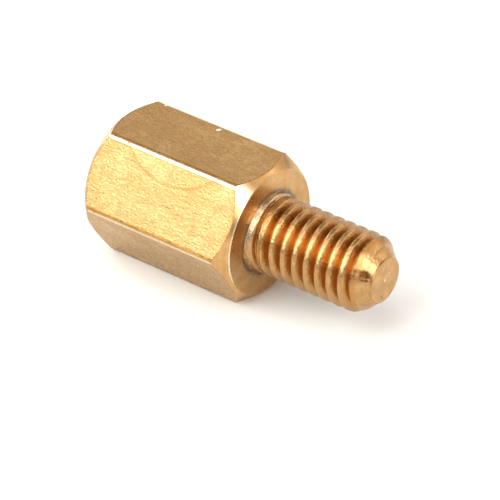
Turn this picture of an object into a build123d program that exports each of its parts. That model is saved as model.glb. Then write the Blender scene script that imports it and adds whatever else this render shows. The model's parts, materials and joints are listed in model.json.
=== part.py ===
from build123d import *
from math import cos, radians, tan
import os

# A short brass hex standoff: a hexagonal body with a threaded stud standing from one end and a
# threaded blind hole in the other.
#
# Frame: the standoff lies on one of its flats, its axis along X.  The origin is on the axis, in the
# plane of the shoulder that the stud stands from.  +X runs out along the stud, +Z is up, and the
# flat it lies on faces -Z.

# ---- hexagonal body
ACROSS_FLATS = 5.00       # between two opposite flats
BODY_LENGTH = 6.60        # shoulder to the face with the threaded hole
EDGE_RADIUS = 0.20        # long edges of the drawn bar
FLAT_SETBACK = 0.115      # how far the turned end chamfer reaches along the middle of each flat
END_CHAMFER_ANGLE = 45.0  # between the chamfer and the axis, degrees

# ---- threads: both are drawn as plain cylinders, the stud over its crests and the hole inside its
# crests, where the mating part's own surface runs
THREAD_PITCH = 0.50
STUD_DIA = 2.95
THREAD_CLEARANCE = 0.10   # hole thread's outside diameter less the stud's
THREAD_HEIGHT = 0.55      # height of the hole's thread, as a share of its pitch

# ---- stud
STUD_LENGTH = 5.05        # shoulder to the flat tip
TIP_FLAT_DIA = 1.73       # flat left on the tip by its chamfer
TIP_CHAMFER_ANGLE = 45.0  # between the chamfer and the axis, degrees

# ---- blind hole
FLOOR_THICKNESS = 1.05    # metal between the drill point and the shoulder plane
DRILL_POINT_ANGLE = 118.0
MOUTH_RELIEF = 0.10       # countersink diameter less the hole thread's outside diameter
MOUTH_ANGLE = 45.0        # between the countersink and the axis, degrees

# ---- sizes that follow from those above
corner_radius = ACROSS_FLATS / 2 / cos(radians(30))
end_radius = ACROSS_FLATS / 2 - FLAT_SETBACK * tan(radians(END_CHAMFER_ANGLE))
chamfer_length = (corner_radius - end_radius) / tan(radians(END_CHAMFER_ANGLE))

stud_radius = STUD_DIA / 2
tip_radius = TIP_FLAT_DIA / 2
tip_length = (stud_radius - tip_radius) / tan(radians(TIP_CHAMFER_ANGLE))

hole_thread_radius = stud_radius + THREAD_CLEARANCE / 2
hole_radius = hole_thread_radius - THREAD_HEIGHT * THREAD_PITCH
mouth_radius = hole_thread_radius + MOUTH_RELIEF / 2
mouth_length = (mouth_radius - hole_radius) / tan(radians(MOUTH_ANGLE))
point_length = hole_radius / tan(radians(DRILL_POINT_ANGLE / 2))

hole_face = -BODY_LENGTH
point_tip = -FLOOR_THICKNESS
hole_end = point_tip - point_length
stud_start = point_tip / 2  # the stud starts inside the body, so that the two join over a length


def turned(*outline):
    """Revolve a closed outline of (distance along X, radius) points about the X axis."""
    with BuildPart() as solid:
        with BuildSketch(Plane.XY):
            with BuildLine():
                Polyline(*outline, close=True)
            make_face()
        revolve(axis=Axis.X)
    return solid.part


# Drawn bar: a hexagon with flats facing +Z and -Z, its six long edges slightly rounded.
with BuildPart() as bar:
    with BuildSketch(Plane.YZ.offset(hole_face)):
        RegularPolygon(radius=corner_radius, side_count=6)
    extrude(amount=BODY_LENGTH)
    fillet(bar.edges().filter_by(Axis.X), radius=EDGE_RADIUS)

# Turning both ends chamfers the corners and leaves each end face round.
body = bar.part & turned(
    (hole_face, 0),
    (hole_face, end_radius),
    (hole_face + chamfer_length, corner_radius),
    (-chamfer_length, corner_radius),
    (0, end_radius),
    (0, 0),
)

# The stud keeps its full diameter from the shoulder to its tip chamfer.
stud = turned(
    (stud_start, 0),
    (stud_start, stud_radius),
    (STUD_LENGTH - tip_length, stud_radius),
    (STUD_LENGTH, tip_radius),
    (STUD_LENGTH, 0),
)

# The hole is countersunk at its mouth and closed by the drill point.
hole = turned(
    (hole_face, 0),
    (hole_face, mouth_radius),
    (hole_face + mouth_length, hole_radius),
    (hole_end, hole_radius),
    (point_tip, 0),
)

standoff = body + stud - hole

os.makedirs("parts", exist_ok=True)
export_step(standoff, "parts/standoff.step")
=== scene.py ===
import json
import math

import bpy
from mathutils import Matrix, Vector, noise
import numpy as np


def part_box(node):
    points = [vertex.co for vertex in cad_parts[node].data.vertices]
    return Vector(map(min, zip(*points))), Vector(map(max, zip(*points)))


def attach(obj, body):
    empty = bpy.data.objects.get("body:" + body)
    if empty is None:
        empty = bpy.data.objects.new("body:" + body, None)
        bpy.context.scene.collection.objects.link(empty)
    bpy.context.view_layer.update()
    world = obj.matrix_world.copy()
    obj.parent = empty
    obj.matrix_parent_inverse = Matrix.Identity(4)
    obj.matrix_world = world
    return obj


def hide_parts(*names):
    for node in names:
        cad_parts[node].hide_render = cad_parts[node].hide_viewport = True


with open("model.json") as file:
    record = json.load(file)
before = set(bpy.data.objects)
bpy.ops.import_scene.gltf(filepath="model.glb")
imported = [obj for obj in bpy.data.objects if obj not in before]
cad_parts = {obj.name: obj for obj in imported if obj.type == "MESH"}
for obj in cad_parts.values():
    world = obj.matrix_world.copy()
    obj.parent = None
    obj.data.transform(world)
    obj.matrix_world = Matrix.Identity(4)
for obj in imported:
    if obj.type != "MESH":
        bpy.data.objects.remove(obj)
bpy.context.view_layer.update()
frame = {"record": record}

MM = 0.001

# ---------------------------------------------------------------- sizes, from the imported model
# The axis runs along X with the shoulder at x = 0.  Every angle is about the axis, from +Y to +Z.
low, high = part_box("standoff")
mounts = {m["name"]: m for m in frame["record"]["mounts"]}
half_flats = high.z
hole_face = low.x
stud_end = high.x
stud_radius = mounts["stud"]["dims"]["r_mm"] * MM
tip_start = mounts["stud"]["dims"]["length_mm"] * MM
hole_radius = mounts["female_thread"]["dims"]["r_mm"] * MM
hole_wall_start = mounts["female_thread"]["pos_m"][0]
hole_wall_end = hole_wall_start + mounts["female_thread"]["dims"]["length_mm"] * MM

EDGE_RADIUS = 0.20 * MM      # long edges of the bar
FLAT_SETBACK = 0.115 * MM    # reach of the end chamfer along the middle of a flat
PITCH = 0.50 * MM
DRILL_POINT = math.radians(118)
HALF_SIXTH = math.radians(30)  # half of the turn that one flat takes up
end_radius = half_flats - FLAT_SETBACK
tip_radius = stud_radius - (stud_end - tip_start)
mouth_radius = hole_radius + (hole_wall_start - hole_face)
drill_tip = hole_wall_end + hole_radius / math.tan(DRILL_POINT / 2)

# ---- fine shape that only the looks need
RIM_ROUND = 0.035 * MM       # round face to chamfer
SCALLOP_ROUND = 0.030 * MM   # chamfer to flats
FLAT_CROWN = 0.006 * MM      # how much a drawn flat falls off beside its long edges
MOUTH_ROUND = 0.020 * MM     # rim of the hole
TIP_ROUND = 0.012 * MM
TIP_STEP = 0.050 * MM        # the tip's flat stands on a low step above the cone
CONE_ROUND = 0.08 * MM       # where the last thread meets the tip's cone
PIP_HEIGHT = 0.018 * MM      # the turning tool's pip, in the middle of the tip's flat
PIP_PROFILE = [(0.010, 0.018), (0.022, 0.013), (0.034, 0.003), (0.050, 0.0)]  # (r, height) in mm
DIMPLE_ANGLE = math.radians(148)
DIMPLE_X = 4.77 * MM
DIMPLE_RADIUS = 0.27 * MM
DIMPLE_DEPTH = 0.035 * MM
COLLAR_LENGTH = 0.26 * MM    # the plain collar beside the shoulder, which widens towards it
COLLAR_FLARE = 0.075 * MM

# ---- threads; their shares are shares of the pitch
FLANK_SLOPE = math.tan(math.radians(60))
CREST_FLAT = 0.138           # half width of a crest
THREAD_DEPTH = 0.62
CREST_SOFT = 0.060           # rounding where a crest meets its flanks
ROOT_SOFT = 0.03             # and where a flank meets the groove's bottom
CREST_PHASE = 0.975 * MM     # place of a crest's middle at angle 95 degrees
CREST_PHASE_ANGLE = math.radians(95)
RUN_OUT_START = -0.20 * MM   # the groove rises out of the stud between these two places
RUN_OUT_END = 0.75 * MM
RUN_OUT_SOFT = 0.015
CREST_TEAR = 0.014           # how far a crest's edge wanders
TEAR_GRAIN = 0.13 * MM
TEAR_SEED = 2
CREST_ROUGH = 0.008 * MM     # how far a crest's top rises and falls
ROUGH_GRAIN = 0.11 * MM
ROUGH_SEED = 1
ROUGH_REACH = 0.3 * PITCH    # depth below the crest's top where the roughness has died away
SEED_SHIFT = 7.3             # each seed reads another stretch of the noise
INNER_CREST_FLAT = 0.12      # the same for the hole's thread
INNER_DEPTH = 0.55
INNER_CREST_SOFT = 0.04
INNER_ROOT_SOFT = 0.05
INNER_RUN_OUT = 1.0 * MM     # plain stretch before the drill point
INNER_RUN_OUT_SOFT = 0.02
MOUTH_SOFT = 0.02 * MM       # rounding where the thread comes out of the countersink

# ---- density of the mesh
ARC_STEPS = 8                # columns over one rounded bar edge
FLAT_STEPS = 20              # columns over one flat
STUD_ROWS_PER_PITCH = 26
HOLE_ROWS_PER_PITCH = 12
ROUND_STEPS = 4              # rows over one rounded corner
BODY_ROWS = 26
SHOULDER_ROWS = 7
CHAMFER_ROWS = 6
HOLE_FACE_ROWS = 6
BODY_HOLD = 0.006            # place of the first row of a run, as a share of its length
CHAMFER_HOLD = 0.06
FACE_HOLD = 0.04
TIP_FLAT_SHARES = (0.12, 0.25, 0.4, 0.55, 0.7, 0.82, 0.9)
DRILL_CONE_SHARES = (0.02, 0.2, 0.4, 0.6, 0.8, 0.93)
FIRST_THREAD_GAP = 0.005 * MM     # from the tip's step to the stud's first row
LAST_THREAD_X = 0.012 * MM        # the stud's rows stop here, short of the shoulder
COLLAR_ROOT_X = 0.004 * MM        # and one more lies here
HOLE_START_GAP = 0.02 * MM        # from the hole's face to its first row
HOLE_END_GAP = 0.01 * MM


# ---------------------------------------------------------------- columns round the axis
def bar_section():
    """(angle, radius) of the rounded hexagon's outline, once round from angle 0."""
    centre = (half_flats - EDGE_RADIUS) / math.cos(HALF_SIXTH)
    flat_end = (half_flats - EDGE_RADIUS) * math.tan(HALF_SIXTH)
    next_edge = 2 * HALF_SIXTH
    one = []
    for i in range(ARC_STEPS // 2, ARC_STEPS + 1):  # second half of the edge at angle 0
        turn = math.radians(-30 + 60 * i / ARC_STEPS)
        one.append((centre + EDGE_RADIUS * math.cos(turn), EDGE_RADIUS * math.sin(turn)))
    for i in range(1, FLAT_STEPS):
        share = 1 - 2 * i / FLAT_STEPS
        s = flat_end * share
        flat = half_flats - FLAT_CROWN * share ** 8
        one.append((flat * math.cos(HALF_SIXTH) + s * math.sin(HALF_SIXTH),
                    flat * math.sin(HALF_SIXTH) - s * math.cos(HALF_SIXTH)))
    for i in range(ARC_STEPS // 2):                 # first half of the edge at angle 60
        turn = math.radians(30 + 60 * i / ARC_STEPS)
        one.append((centre * math.cos(next_edge) + EDGE_RADIUS * math.cos(turn),
                    centre * math.sin(next_edge) + EDGE_RADIUS * math.sin(turn)))
    angles = np.array([math.atan2(v, u) for u, v in one])
    radii = np.array([math.hypot(u, v) for u, v in one])
    return (np.concatenate([angles + math.radians(60 * k) for k in range(6)]),
            np.tile(radii, 6))


angle, bar_radius = bar_section()
columns = len(angle)


# ---------------------------------------------------------------- rows along a meridian
# A point holds one x and one r for each column.  A row is (x, r, surface), where surface is the
# kind of surface that starts there, and the index of its material.
DRAWN_FLAT, TURNED, THREAD = range(3)


def spread(value):
    return np.broadcast_to(np.asarray(value, float), (columns,)).copy()


def point(x, r):
    return np.stack([spread(x), spread(r)], axis=1)


def rounded(before, corner, after, radius):
    """Points of an arc tangent to both sides of a corner, column by column."""
    a = before - corner
    b = after - corner
    a /= np.linalg.norm(a, axis=1)[:, None]
    b /= np.linalg.norm(b, axis=1)[:, None]
    half = np.arccos(np.clip((a * b).sum(1), -1, 1)) / 2
    reach = radius / np.tan(half)
    middle = a + b
    middle /= np.linalg.norm(middle, axis=1)[:, None]
    centre = corner + middle * (radius / np.sin(half))[:, None]
    start = corner + a * reach[:, None] - centre
    end = corner + b * reach[:, None] - centre
    sweep = math.pi - 2 * half
    out = []
    for i in range(ROUND_STEPS + 1):
        u = i / ROUND_STEPS
        w0 = np.sin((1 - u) * sweep) / np.sin(sweep)
        w1 = np.sin(u * sweep) / np.sin(sweep)
        out.append(centre + start * w0[:, None] + end * w1[:, None])
    return out


def between(p, q, shares):
    return [p + (q - p) * s for s in shares]


def held(count, hold):
    """Shares of a straight run: close to both ends, and even in between."""
    return [hold] + [i / count for i in range(1, count)] + [1 - hold]


def smooth_step(value, start, end):
    t = np.clip((value - start) / (end - start), 0, 1)
    return t * t * (3 - 2 * t)


def soft_floor(value, k):
    """max(value, 0), rounded over a width of about k."""
    return 0.5 * (value + np.sqrt(value * value + k * k)) - 0.5 * k * np.exp(-(value / k) ** 2)


def soft_min(a, b, k):
    """min(a, b), rounded over a width of about k."""
    return 0.5 * (a + b - np.sqrt((a - b) ** 2 + k * k))


def ripple(x, seed, grain):
    """Smooth seeded unevenness of about -1 to 1, of a given grain size, round the stud at x."""
    shift = SEED_SHIFT * seed
    reach = stud_radius / grain
    return np.array([noise.noise(Vector((x / grain + shift, reach * math.cos(a),
                                         reach * math.sin(a)))) for a in angle])


def groove_profile(turns, crest_flat, depth, crest_soft, root_soft):
    """Depth below the crests, in pitches, at a place given in turns of the helix."""
    off_crest = np.abs(turns - np.round(turns))
    wall = (off_crest - crest_flat) * FLANK_SLOPE
    return soft_min(soft_floor(wall, crest_soft), np.full(columns, depth), root_soft)


def stud_row(x):
    """Radius of the threaded stud at place x, column by column."""
    turns = (x - CREST_PHASE) / PITCH - (angle - CREST_PHASE_ANGLE) / (2 * math.pi)
    turns = turns + CREST_TEAR * ripple(x, TEAR_SEED, TEAR_GRAIN)
    groove = groove_profile(turns, CREST_FLAT, THREAD_DEPTH, CREST_SOFT, ROOT_SOFT)
    lift = THREAD_DEPTH * (1 - smooth_step(x, RUN_OUT_START, RUN_OUT_END))
    cut = PITCH * soft_floor(groove - lift, RUN_OUT_SOFT)
    on_crest = 1 - np.clip(cut / ROUGH_REACH, 0, 1)
    rough = CREST_ROUGH * on_crest * (ripple(x, ROUGH_SEED, ROUGH_GRAIN) - 1)
    flare = COLLAR_FLARE * max(0, 1 - x / COLLAR_LENGTH)
    cone = tip_radius + (stud_end - TIP_STEP - x) + 0.5 * rough
    radius = soft_min(stud_radius + flare - cut + rough, cone, CONE_ROUND)
    apart = np.hypot(stud_radius * (angle - DIMPLE_ANGLE), x - DIMPLE_X)
    return radius - DIMPLE_DEPTH * (1 - smooth_step(apart, 0, DIMPLE_RADIUS))


def hole_row(x):
    """Radius of the threaded hole at place x, column by column."""
    turns = x / PITCH - angle / (2 * math.pi)
    groove = groove_profile(turns, INNER_CREST_FLAT, INNER_DEPTH, INNER_CREST_SOFT,
                            INNER_ROOT_SOFT)
    thread_end = hole_wall_end - INNER_RUN_OUT
    lift = INNER_DEPTH * smooth_step(x, thread_end - PITCH, thread_end)
    thread = hole_radius + PITCH * soft_floor(groove - lift, INNER_RUN_OUT_SOFT)
    countersink = mouth_radius - (x - hole_face)
    return -soft_min(-thread, np.full(columns, -countersink), MOUTH_SOFT)


def meridian():
    """All the rows from the stud's tip to the bottom of the hole."""
    rows = []

    def add(points, surface):
        rows.extend((p[:, 0], p[:, 1], surface) for p in points)

    # tip: a flat with a small pip in the middle, then the threaded stud to the shoulder
    flat_x = stud_end - PIP_HEIGHT
    tip_edge = point(flat_x, tip_radius)
    step_foot = point(flat_x - TIP_STEP, tip_radius)
    add([point(flat_x + height * MM, r * MM) for r, height in PIP_PROFILE], TURNED)
    add([point(flat_x, tip_radius * s) for s in TIP_FLAT_SHARES], TURNED)
    add(rounded(point(flat_x, 0), tip_edge, step_foot, TIP_ROUND), TURNED)
    x = stud_end - TIP_STEP - FIRST_THREAD_GAP
    while x > LAST_THREAD_X:
        add([point(x, stud_row(x))], THREAD)
        x -= PITCH / STUD_ROWS_PER_PITCH
    add([point(COLLAR_ROOT_X, stud_row(COLLAR_ROOT_X))], TURNED)

    # shoulder face, chamfer, bar, chamfer, and the face with the hole
    chamfer = bar_radius - end_radius
    root = point(0, stud_radius + COLLAR_FLARE)
    rim = point(0, end_radius)
    scallop = point(-chamfer, bar_radius)
    far_scallop = point(hole_face + chamfer, bar_radius)
    far_rim = point(hole_face, end_radius)
    mouth = point(hole_face, mouth_radius)
    mouth_foot = point(hole_wall_start, hole_radius)
    rim_arc = rounded(root, rim, scallop, RIM_ROUND)
    scallop_arc = rounded(rim, scallop, far_scallop, SCALLOP_ROUND)
    far_scallop_arc = rounded(scallop, far_scallop, far_rim, SCALLOP_ROUND)
    far_rim_arc = rounded(far_scallop, far_rim, mouth, RIM_ROUND)
    mouth_arc = rounded(far_rim, mouth, mouth_foot, MOUTH_ROUND)
    add([root], TURNED)
    add(between(root, rim_arc[0], held(SHOULDER_ROWS, FACE_HOLD)), TURNED)
    add(rim_arc, TURNED)
    add(between(rim_arc[-1], scallop_arc[0], held(CHAMFER_ROWS, CHAMFER_HOLD)), TURNED)
    add(scallop_arc, DRAWN_FLAT)
    add(between(scallop_arc[-1], far_scallop_arc[0], held(BODY_ROWS, BODY_HOLD)), DRAWN_FLAT)
    add(far_scallop_arc, TURNED)
    add(between(far_scallop_arc[-1], far_rim_arc[0], held(CHAMFER_ROWS, CHAMFER_HOLD)), TURNED)
    add(far_rim_arc, TURNED)
    add(between(far_rim_arc[-1], mouth_arc[0], held(HOLE_FACE_ROWS, FACE_HOLD)), TURNED)
    add(mouth_arc, TURNED)

    # threaded hole and the drill's cone
    x = hole_face + HOLE_START_GAP
    while x < hole_wall_end - HOLE_END_GAP:
        add([point(x, hole_row(x))], THREAD)
        x += PITCH / HOLE_ROWS_PER_PITCH
    wall_end = point(hole_wall_end, hole_radius)
    add([wall_end], TURNED)
    add(between(wall_end, point(drill_tip, 0), DRILL_CONE_SHARES), TURNED)
    return rows


def standoff_mesh():
    """One closed mesh: the rows as rings of vertices, and a point on the axis at each end."""
    rows = meridian()
    vertices = []
    for x, r, _ in rows:
        vertices.extend(zip(x, r * np.cos(angle), r * np.sin(angle)))
    tip_vertex = len(vertices)
    drill_vertex = tip_vertex + 1
    vertices.append((stud_end, 0.0, 0.0))
    vertices.append((drill_tip, 0.0, 0.0))
    last_row = (len(rows) - 1) * columns
    faces = []
    materials = []
    for j in range(columns):
        k = (j + 1) % columns
        faces.append((tip_vertex, j, k))
        materials.append(TURNED)
        for i in range(len(rows) - 1):
            a = i * columns
            b = a + columns
            faces.append((a + j, b + j, b + k, a + k))
            materials.append(rows[i][2])
        faces.append((last_row + j, drill_vertex, last_row + k))
        materials.append(TURNED)
    mesh = bpy.data.meshes.new("standoff_brass")
    mesh.from_pydata(vertices, [], faces)
    mesh.polygons.foreach_set("material_index", materials)
    mesh.polygons.foreach_set("use_smooth", [True] * len(faces))
    mesh.update()
    return mesh


# ---------------------------------------------------------------- building materials
class Nodes:
    """Short names for building one material's node tree."""

    def __init__(self, name):
        self.material = bpy.data.materials.new(name)
        self.material.use_nodes = True
        self.tree = self.material.node_tree
        self.shader = self.tree.nodes["Principled BSDF"]

    def node(self, kind, inputs=(), **settings):
        made = self.tree.nodes.new("ShaderNode" + kind)
        for key, value in settings.items():
            setattr(made, key, value)
        for socket, value in dict(inputs).items():
            self.put(made.inputs[socket], value)
        return made

    def put(self, socket, value):
        if isinstance(value, bpy.types.NodeSocket):
            self.tree.links.new(value, socket)
        else:
            socket.default_value = value

    def math(self, operation, *values):
        return self.node("Math", enumerate(values), operation=operation).outputs[0]

    def times(self, product, *factors):
        for factor in factors:
            product = self.math("MULTIPLY", product, factor)
        return product

    def plus(self, a, b):
        return self.math("ADD", a, b)

    def minus(self, a, b):
        return self.math("SUBTRACT", a, b)

    def length(self, a, b):
        return self.math("SQRT", self.plus(self.times(a, a), self.times(b, b)))

    def coordinates(self):
        """The place on the part, its x, y and z, and its distance from the axis."""
        place = self.node("TexCoord").outputs["Object"]
        x, y, z = self.node("SeparateXYZ", {"Vector": place}).outputs
        return place, x, y, z, self.length(y, z)

    def pair(self, a, b):
        """Two values as a place, for noise that varies with both."""
        return self.node("CombineXYZ", {"X": a, "Y": b}).outputs[0]

    def stretched(self, vector, along):
        """A place whose x is scaled: less than 1 draws the pattern out along the axis."""
        return self.node("Mapping", {"Vector": vector, "Scale": (along, 1, 1)}).outputs[0]

    def noise(self, vector, scale, detail, roughness):
        return self.node("TexNoise", {"Vector": vector, "Scale": scale, "Detail": detail,
                                      "Roughness": roughness}).outputs["Fac"]

    def cells(self, vector, scale):
        """A random shade for each of many small grains."""
        made = self.node("TexVoronoi", {"Vector": vector, "Scale": scale})
        return self.node("SeparateColor", {"Color": made.outputs["Color"]}).outputs[0]

    def ramp(self, value, start, end, at_start=0.0, at_end=1.0):
        return self.node("MapRange", {"Value": value, "From Min": start, "From Max": end,
                                      "To Min": at_start, "To Max": at_end},
                         interpolation_type="SMOOTHSTEP").outputs[0]

    def band(self, value, middle, half_width, fade):
        """1 where value is within half_width of middle, fading to 0 over fade."""
        away = self.math("ABSOLUTE", self.minus(value, middle))
        return self.ramp(away, half_width + fade, half_width)

    def spot(self, place, x, y, z, radius):
        """1 in the middle half of a small ball at x, y, z, fading to 0 at its radius."""
        return self.ramp(self.distance(place, x, y, z), radius, 0.5 * radius)

    def distance(self, place, x, y, z):
        return self.node("VectorMath", {0: place, 1: (x, y, z)},
                         operation="DISTANCE").outputs["Value"]

    def mix(self, share, a, b):
        made = self.node("Mix", data_type="RGBA")
        self.put(made.inputs["Factor"], share)
        self.put(made.inputs[6], a)
        self.put(made.inputs[7], b)
        return made.outputs[2]

    def over(self, colour, paint, *shares):
        """The colour with paint over it, by the product of the shares."""
        return self.mix(self.times(*shares), colour, paint)

    def metal(self, colour, roughness, height, relief):
        """Sets the shader to metal, with a bump from height (0 to 1) that is relief deep."""
        bump = self.node("Bump", {"Height": height, "Distance": relief})
        self.put(self.shader.inputs["Base Color"], colour)
        self.put(self.shader.inputs["Roughness"], roughness)
        self.put(self.shader.inputs["Normal"], bump.outputs[0])
        self.shader.inputs["Metallic"].default_value = 1.0


# ---------------------------------------------------------------- colours and marks
BRASS = (0.65, 0.386, 0.160, 1)
BRASS_DEEP = (0.57, 0.318, 0.122, 1)
DRAWN = (0.60, 0.384, 0.158, 1)       # the bar's own skin, a little greener
DRAWN_DEEP = (0.53, 0.317, 0.120, 1)
TARNISH_AND_SHADE = (0.38, 0.215, 0.085, 1)
GROOVE = (0.44, 0.190, 0.050, 1)
DARK_SPOT = (0.24, 0.095, 0.028, 1)
PAINTED_SHADE = (0.19, 0.135, 0.095, 1)
STAIN = (0.50, 0.200, 0.055, 1)
DARK_LINE = (0.41, 0.180, 0.042, 1)
BARE_AND_HIGHLIGHT = (0.98, 0.88, 0.70, 1)
PER_MM = 1 / MM

# Bands are (middle, half width, fade).  These four are by distance across the nearest long edge.
DIE_LINE_BAND = (-0.110 * MM, 0.016 * MM, 0.035 * MM)
FAINT_LINE_BAND = (0.120 * MM, 0.010 * MM, 0.025 * MM)
RUBBED_HIGHLIGHT_BAND = (0.038 * MM, 0.036 * MM, 0.035 * MM)
HIGHLIGHT_CHAMFER_BAND = (0.06 * MM, 0.15 * MM, 0.45 * MM)
# This one is by distance from the end chamfer, and the next two by distance from the axis.
CUT_EDGE_BAND = (0.030 * MM, 0.010 * MM, 0.025 * MM)
RIM_BAND = (end_radius, 0.012 * MM, 0.030 * MM)
TIP_EDGE_BAND = (tip_radius, 0.020 * MM, 0.030 * MM)

# The stain is an arc on the flat at angle 150: its centre is (place along x, place towards the
# edge at angle 120), both from the middle of the shoulder end of that flat.
STAIN_X = -3.25 * MM
STAIN_S = 3.23 * MM
STAIN_RADIUS = 2.70 * MM
STAIN_WIDTH = 0.070 * MM
STAIN_BAND = (STAIN_RADIUS, 0.3 * STAIN_WIDTH, STAIN_WIDTH)

# Small marks, each a ball (x, y, z, radius).
NICK = (-3.20 * MM, 1.18 * MM, 2.50 * MM, 0.105 * MM)       # bright, by the edge at angle 60
END_NICK = (-5.75 * MM, 1.33 * MM, 2.48 * MM, 0.070 * MM)
PIP = (stud_end, 0, 0, 0.060 * MM)                          # the turning tool's pip, with a painted highlight
PIT = (stud_end, -0.18 * MM, -0.61 * MM, 0.060 * MM)
BURR_PLACE = (-5.79 * MM, -2.86 * MM, 0.04 * MM)            # a curl at the edge at angle 180
BURR_RADIUS = 0.085 * MM
BURR_HOLLOW = 0.05 * MM                                     # its middle is as bright as the bar
dimple_radius = tip_radius + (stud_end - TIP_STEP - DIMPLE_X) - DIMPLE_DEPTH
DIMPLE = (DIMPLE_X, dimple_radius * math.cos(DIMPLE_ANGLE),
          dimple_radius * math.sin(DIMPLE_ANGLE), DIMPLE_RADIUS)

# Where paint fades in along a coordinate: 0 at the first number and 1 at the second.
UNDERSIDE_Z = (0.0, -0.10 * MM)                             # the bar's lower flats, darker: painted shade
TOP_EDGE_Z = (0.3 * MM, 1.0 * MM)                           # rubbed lines, with more painted highlight towards the top
STAINED_FLAT = (half_flats - 0.06 * MM, half_flats - 0.03 * MM)    # along the flat's normal
SHOULDER_X = (-0.05 * MM, -0.01 * MM)
SHOULDER_FRONT_X = (0.05 * MM, 0.02 * MM)
CHAMFER_X = (0.0, -0.04 * MM)
CHAMFER_R = (end_radius, end_radius + 0.04 * MM)
TIP_X = (stud_end - 0.16 * MM, stud_end - 0.10 * MM)
FAR_SIDE_Y = (0.2 * MM, 1.2 * MM)                           # chamfers and shoulder, darker: painted shade
HIGHLIGHT_CORNER_Y = (-0.2 * MM, -0.8 * MM)                    # painted highlight on the chamfers by the edge at 120
HIGHLIGHT_CORNER_Z = (0.8 * MM, 1.4 * MM)
# a dark ring round the stud's root: painted reflection of the shaded floor
SHADED_RING_R = (stud_radius + 0.27 * MM, stud_radius + 0.10 * MM)
# a stretch of the shoulder's rim with a painted highlight
HIGHLIGHT_RIM_Y = (-1.1 * MM, -1.7 * MM)
HIGHLIGHT_RIM_Z = (-1.3 * MM, -0.6 * MM)
STUD_X = (-0.01 * MM, 0.01 * MM)                            # from the hole's thread to the stud's
HOLE_X = (0.01 * MM, -0.01 * MM)
CONE_X = (tip_start + 0.22 * MM, tip_start + 0.05 * MM)     # before the tip's cone
STUD_GROOVE_R = (stud_radius - 0.02 * MM, stud_radius - 0.20 * MM)
HOLE_GROOVE_R = (hole_radius + 0.03 * MM, hole_radius + 0.22 * MM)
COLLAR_X = (COLLAR_LENGTH, COLLAR_LENGTH - 0.08 * MM)
# the collar's painted highlight fades in towards its top
COLLAR_TOP_Z = (0.1 * MM, 0.7 * MM)
# painted shade on the stud below and behind
BELOW_STUD_Z = (-0.2 * MM, -1.0 * MM)
BEHIND_STUD_Y = (0.1 * MM, 0.9 * MM)

STREAK_SQUEEZE = 0.12        # draws the thread's streaks out along the helix
DRAWN_RELIEF = 0.021 * MM    # depth of each surface's fine unevenness
TURNED_RELIEF = 0.006 * MM
THREAD_RELIEF = 0.016 * MM


def across_edge(n, y, z, radius):
    """Distance from the nearest long edge of the bar, positive on its side of larger angle."""
    turn = n.math("WRAP", n.math("ARCTAN2", z, y), HALF_SIXTH, -HALF_SIXTH)
    return n.times(radius, n.math("SINE", turn))


def short_of_chamfer(n, x, radius):
    """Distance of a place on the flats from the nearer end chamfer's cone, square to the axis."""
    to_end = n.math("MINIMUM", n.times(x, -1.0), n.minus(x, hole_face))
    return n.plus(to_end, n.minus(end_radius, radius))


def stain_line(n, x, y, z):
    """1 along the stain's arc, and 0 off its flat."""
    toward_edge = n.plus(n.times(y, math.sin(HALF_SIXTH)), n.times(z, math.cos(HALF_SIXTH)))
    out = n.minus(n.times(z, math.sin(HALF_SIXTH)), n.times(y, math.cos(HALF_SIXTH)))
    reach = n.length(n.minus(x, STAIN_X), n.minus(toward_edge, STAIN_S))
    return n.times(n.band(reach, *STAIN_BAND), n.ramp(out, *STAINED_FLAT))


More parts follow.
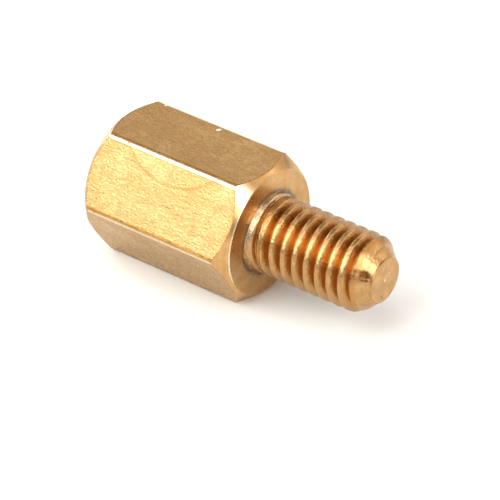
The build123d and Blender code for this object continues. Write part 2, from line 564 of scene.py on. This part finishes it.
# ---------------------------------------------------------------- the three surfaces
def drawn_brass():
    """Bar stock as drawn: speckled flats, with die lines and a rubbed line along each edge that
    is also a painted highlight, brightest towards the top, and painted shade on the lower flats.
    """
    n = Nodes("brass_drawn")
    place, x, y, z, radius = n.coordinates()
    mottle = n.noise(n.stretched(place, 0.7), 1.0 * PER_MM, 5.0, 0.65)
    patches = n.noise(n.stretched(place, 0.5), 3.5 * PER_MM, 3.0, 0.6)
    speckle = n.noise(n.stretched(place, 0.8), 13 * PER_MM, 2.0, 0.6)
    grains = n.cells(n.stretched(place, 0.70), 19 * PER_MM)
    drawing_lines = n.noise(n.stretched(place, 0.07), 26 * PER_MM, 1.0, 0.5)
    colour = n.mix(n.ramp(mottle, 0.38, 0.56), DRAWN, DRAWN_DEEP)
    colour = n.over(colour, TARNISH_AND_SHADE, n.ramp(grains, 0.35, 1.0), 0.36)
    colour = n.over(colour, TARNISH_AND_SHADE, n.ramp(speckle, 0.46, 0.66), 0.28)
    colour = n.over(colour, TARNISH_AND_SHADE, n.ramp(patches, 0.48, 0.66), 0.30)
    # painted shade: the lower flats darker
    colour = n.over(colour, TARNISH_AND_SHADE, n.ramp(z, *UNDERSIDE_Z), 0.25)

    # lines beside the long edges; the bare rubbed line is partly wear and partly painted
    # highlight, brightest towards the top
    across = across_edge(n, y, z, radius)
    colour = n.over(colour, DARK_LINE, n.band(across, *DIE_LINE_BAND),
                    n.ramp(patches, 0.30, 0.55, 0.50, 1.0))
    colour = n.over(colour, DARK_LINE, n.band(across, *FAINT_LINE_BAND),
                    n.ramp(patches, 0.35, 0.60, 0.10, 0.60))
    colour = n.over(colour, BARE_AND_HIGHLIGHT, n.band(across, *RUBBED_HIGHLIGHT_BAND),
                    n.ramp(z, *TOP_EDGE_Z, 0.42, 0.90))

    # the broken line where the end chamfer cuts the flats, the stain, the nicks and the burr
    colour = n.over(colour, DARK_LINE, n.band(short_of_chamfer(n, x, radius), *CUT_EDGE_BAND),
                    n.ramp(grains, 0.2, 0.7, 0.25, 0.85))
    colour = n.over(colour, STAIN, stain_line(n, x, y, z),
                    n.ramp(patches, 0.35, 0.60, 0.40, 0.76))
    nicks = n.math("MAXIMUM", n.spot(place, *NICK), n.spot(place, *END_NICK))
    colour = n.over(colour, BARE_AND_HIGHLIGHT, nicks)
    off_hollow = n.ramp(n.distance(place, *BURR_PLACE), 0.2 * BURR_HOLLOW, BURR_HOLLOW)
    colour = n.over(colour, GROOVE, n.spot(place, *BURR_PLACE, BURR_RADIUS), off_hollow, 0.9)

    roughness = n.plus(n.ramp(grains, 0.0, 1.0, 0.24, 0.36), n.times(nicks, 0.3))
    height = n.plus(n.times(drawing_lines, 0.18), n.times(speckle, 0.55))
    height = n.plus(height, n.times(nicks, 1.5))
    n.metal(colour, roughness, height, DRAWN_RELIEF)
    return n.material


def turned_brass():
    """Faces left by a turning tool: fine rings round the axis, which stretch each highlight."""
    n = Nodes("brass_turned")
    place, x, y, z, radius = n.coordinates()
    rings = n.noise(n.pair(radius, x), 20 * PER_MM, 3.0, 0.7)
    tool_marks = n.noise(n.pair(radius, x), 5 * PER_MM, 2.0, 0.6)
    mottle = n.noise(place, 2.0 * PER_MM, 5.0, 0.6)
    speckle = n.noise(place, 9 * PER_MM, 2.0, 0.7)
    on_shoulder = n.times(n.ramp(x, *SHOULDER_X), n.ramp(x, *SHOULDER_FRONT_X))
    on_chamfer = n.times(n.ramp(x, *CHAMFER_X), n.ramp(radius, *CHAMFER_R))
    at_tip = n.ramp(x, *TIP_X)
    colour = n.mix(n.ramp(mottle, 0.38, 0.66), BRASS, BRASS_DEEP)

    # tool marks, strongest on the chamfers, and painted shade on the far side
    marked = n.plus(n.times(on_chamfer, 0.70), n.plus(n.times(on_shoulder, 0.04), 0.08))
    colour = n.over(colour, TARNISH_AND_SHADE, n.ramp(tool_marks, 0.45, 0.65), marked)
    far_shade_share = n.plus(n.times(on_chamfer, 0.50), n.times(on_shoulder, 0.25))
    colour = n.over(colour, TARNISH_AND_SHADE, n.ramp(y, *FAR_SIDE_Y), far_shade_share)

    # a painted highlight on the chamfers where they meet the edge at angle 120
    by_edge_120 = n.times(n.ramp(y, *HIGHLIGHT_CORNER_Y), n.ramp(z, *HIGHLIGHT_CORNER_Z))
    across = across_edge(n, y, z, radius)
    colour = n.over(colour, BARE_AND_HIGHLIGHT, by_edge_120, on_chamfer,
                    n.band(across, *HIGHLIGHT_CHAMFER_BAND), 0.42)

    # shoulder: a dark ring round the stud's root, painted reflection of the shaded floor, and a
    # stretch of the rim painted bright as a highlight
    colour = n.over(colour, PAINTED_SHADE, on_shoulder, n.ramp(radius, *SHADED_RING_R),
                    n.ramp(mottle, 0.34, 0.56, 0.45, 1.0))
    # painted highlight along the lower front stretch of the rim
    rim_part = n.times(n.ramp(y, *HIGHLIGHT_RIM_Y), n.ramp(z, *HIGHLIGHT_RIM_Z))
    colour = n.over(colour, BARE_AND_HIGHLIGHT, n.band(radius, *RIM_BAND), n.times(on_shoulder, rim_part),
                    n.ramp(speckle, 0.35, 0.60, 0.45, 0.85))

    # tip: a duller flat inside a dark edge, painted shade in the step's corner, with a painted
    # highlight on the pip and a pit
    colour = n.over(colour, TARNISH_AND_SHADE, at_tip, n.ramp(mottle, 0.34, 0.56, 0.20, 0.45))
    colour = n.over(colour, DARK_LINE, n.band(radius, *TIP_EDGE_BAND), at_tip, 0.55)
    colour = n.over(colour, BARE_AND_HIGHLIGHT, n.spot(place, *PIP))
    colour = n.over(colour, DARK_SPOT, n.spot(place, *PIT))

    roughness = n.ramp(mottle, 0.3, 0.7, 0.25, 0.34)
    n.metal(colour, roughness, n.plus(rings, n.times(speckle, 0.5)), TURNED_RELIEF)
    n.shader.inputs["Anisotropic"].default_value = 0.6
    n.shader.inputs["Anisotropic Rotation"].default_value = 0.25
    tangent = n.node("Tangent", direction_type="RADIAL", axis="X").outputs[0]
    n.put(n.shader.inputs["Tangent"], tangent)
    return n.material


def thread_brass():
    """Die-cut thread: bright torn crests over dark grooves, with painted shade below and behind
    the stud and a painted highlight on the collar.
    """
    n = Nodes("brass_thread")
    place, x, y, z, radius = n.coordinates()
    stud_side = n.ramp(x, *STUD_X)
    on_stud = n.times(stud_side, n.ramp(x, *CONE_X))
    stud_depth = n.times(on_stud, n.ramp(radius, *STUD_GROOVE_R))
    hole_depth = n.times(n.ramp(x, *HOLE_X), n.ramp(radius, *HOLE_GROOVE_R))
    speckle = n.noise(place, 9 * PER_MM, 3.0, 0.7)
    mottle = n.noise(place, 2.6 * PER_MM, 4.0, 0.6)
    turn = n.math("ARCTAN2", y, z)
    along_helix = n.times(turn, STREAK_SQUEEZE * stud_radius)
    across_helix = n.plus(x, n.times(turn, PITCH / (2 * math.pi)))
    streaks = n.noise(n.pair(across_helix, along_helix), 16 * PER_MM, 2.0, 0.6)
    colour = n.mix(n.ramp(mottle, 0.40, 0.68), BRASS, BRASS_DEEP)
    colour = n.over(colour, TARNISH_AND_SHADE, n.ramp(mottle, 0.30, 0.60, 0.30, 0.48))
    colour = n.over(colour, TARNISH_AND_SHADE, n.ramp(streaks, 0.48, 0.64), 0.50)

    # the collar, burnished, with a painted highlight brightest towards its top
    on_collar = n.times(n.ramp(x, *COLLAR_X), stud_side)
    colour = n.over(colour, BARE_AND_HIGHLIGHT, on_collar, n.ramp(z, *COLLAR_TOP_Z, 0.08, 0.27))

    # grooves, and painted shade on the stud below and behind
    grooves = n.plus(n.times(stud_depth, 0.92), n.times(hole_depth, 0.75))
    colour = n.over(colour, GROOVE, grooves)
    below = n.times(n.ramp(z, *BELOW_STUD_Z), on_stud)
    colour = n.over(colour, TARNISH_AND_SHADE, below, 0.60)
    behind = n.times(n.ramp(y, *BEHIND_STUD_Y), on_stud)
    colour = n.over(colour, PAINTED_SHADE, behind, n.ramp(speckle, 0.40, 0.60, 0.35, 0.70))
    colour = n.over(colour, TARNISH_AND_SHADE, n.ramp(speckle, 0.50, 0.66),
                    n.ramp(x, *STUD_X, 0.15, 0.60))
    # a dark patch painted in the dent
    colour = n.over(colour, DARK_SPOT, n.spot(place, *DIMPLE), 0.95)

    n.metal(colour, n.ramp(mottle, 0.3, 0.7, 0.18, 0.27), speckle, THREAD_RELIEF)
    return n.material


# ---------------------------------------------------------------- the piece
def add_object(name, data):
    made = bpy.data.objects.new(name, data)
    bpy.context.scene.collection.objects.link(made)
    return made


mesh = standoff_mesh()
for made in (drawn_brass(), turned_brass(), thread_brass()):    # in the order of the indices
    mesh.materials.append(made)
standoff = add_object("standoff_brass", mesh)
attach(standoff, "root")
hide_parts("standoff")

# ---------------------------------------------------------------- floor
FLOOR_REACH = 1.5
FLOOR_WHITE = (0.88, 0.855, 0.833, 1)


def floor():
    made = bpy.data.meshes.new("floor")
    made.from_pydata([(-FLOOR_REACH, -FLOOR_REACH, low.z), (FLOOR_REACH, -FLOOR_REACH, low.z),
                      (FLOOR_REACH, FLOOR_REACH, low.z), (-FLOOR_REACH, FLOOR_REACH, low.z)],
                     [], [(0, 1, 2, 3)])
    n = Nodes("floor_white")
    n.shader.inputs["Base Color"].default_value = FLOOR_WHITE
    n.shader.inputs["Roughness"].default_value = 0.9
    n.shader.inputs["Specular IOR Level"].default_value = 0.1
    made.materials.append(n.material)
    obj = add_object("floor", made)


floor()

# ---------------------------------------------------------------- light
LAMP_DISTANCE = 0.5
NEUTRAL = (1.0, 1.0, 1.0)
WARM = (1.0, 0.93, 0.84)
COOL = (0.90, 1.0, 1.0)
WORLD_COLOUR = (1.0, 0.97, 0.94, 1)
WORLD_STRENGTH = 0.35


def looking(side, up, back, place):
    """The matrix of a lamp or camera at place that looks against back."""
    return Matrix.Translation(place) @ Matrix((side, up, back)).transposed().to_4x4()


def softbox(name, toward, along, across, radiance, colour):
    """A rectangular lamp in direction toward, facing the standoff, of an even radiance.

    Its side of length along lies with the standoff's axis, as nearly as it can.
    """
    data = bpy.data.lights.new(name, "AREA")
    data.shape = "RECTANGLE"
    data.size = along
    data.size_y = across
    data.energy = radiance * math.pi * along * across
    data.color = colour
    out = Vector(toward).normalized()
    axis = Vector((1, 0, 0))
    side = (axis - out * axis.dot(out)).normalized()
    lamp = add_object(name, data)
    lamp.matrix_world = looking(side, out.cross(side), out, out * LAMP_DISTANCE)


softbox("key", (-0.317, -0.722, 0.615), 0.47, 0.36, 4.5, COOL)
softbox("overhead", (-0.08, -0.24, 0.965), 0.42, 0.28, 1.9, NEUTRAL)
softbox("right", (0.85, -0.16, 0.50), 0.22, 0.28, 5.8, NEUTRAL)
softbox("back", (0.06, 0.82, 0.42), 0.95, 0.40, 0.84, WARM)
softbox("left", (-0.86, 0.12, 0.50), 0.30, 0.30, 4.0, NEUTRAL)
softbox("back_right", (0.66, 0.44, 0.56), 0.26, 0.52, 0.82, WARM)

world = bpy.data.worlds.new("studio")
world.use_nodes = True
background = world.node_tree.nodes["Background"]
background.inputs["Color"].default_value = WORLD_COLOUR
background.inputs["Strength"].default_value = WORLD_STRENGTH
bpy.context.scene.world = world
bpy.context.scene.view_settings.view_transform = "Standard"

# ---------------------------------------------------------------- camera
AZIMUTH = math.radians(37.11)
ELEVATION = math.radians(34.15)
ROLL = math.radians(0.20)
DISTANCE = 130.24 * MM
FOCAL_LENGTH = 262.6         # in mm, as the sensor's width is
SENSOR_WIDTH = 36
CLIP_START = 0.01
CLIP_END = 10
AIM_RIGHT = -0.716 * MM      # the point aimed at, across and up from the shoulder's centre
AIM_UP = -0.645 * MM

right = Vector((math.cos(AZIMUTH), math.sin(AZIMUTH), 0))
back = Vector((math.sin(AZIMUTH) * math.cos(ELEVATION), -math.cos(AZIMUTH) * math.cos(ELEVATION),
               math.sin(ELEVATION)))
up = back.cross(right)
right, up = (right * math.cos(ROLL) + up * math.sin(ROLL),
             up * math.cos(ROLL) - right * math.sin(ROLL))
camera_data = bpy.data.cameras.new("camera")
camera_data.lens = FOCAL_LENGTH
camera_data.sensor_width = SENSOR_WIDTH
camera_data.clip_start = CLIP_START
camera_data.clip_end = CLIP_END
camera = add_object("camera", camera_data)
camera.matrix_world = looking(right, up, back, right * AIM_RIGHT + up * AIM_UP + back * DISTANCE)
bpy.context.scene.camera = camera
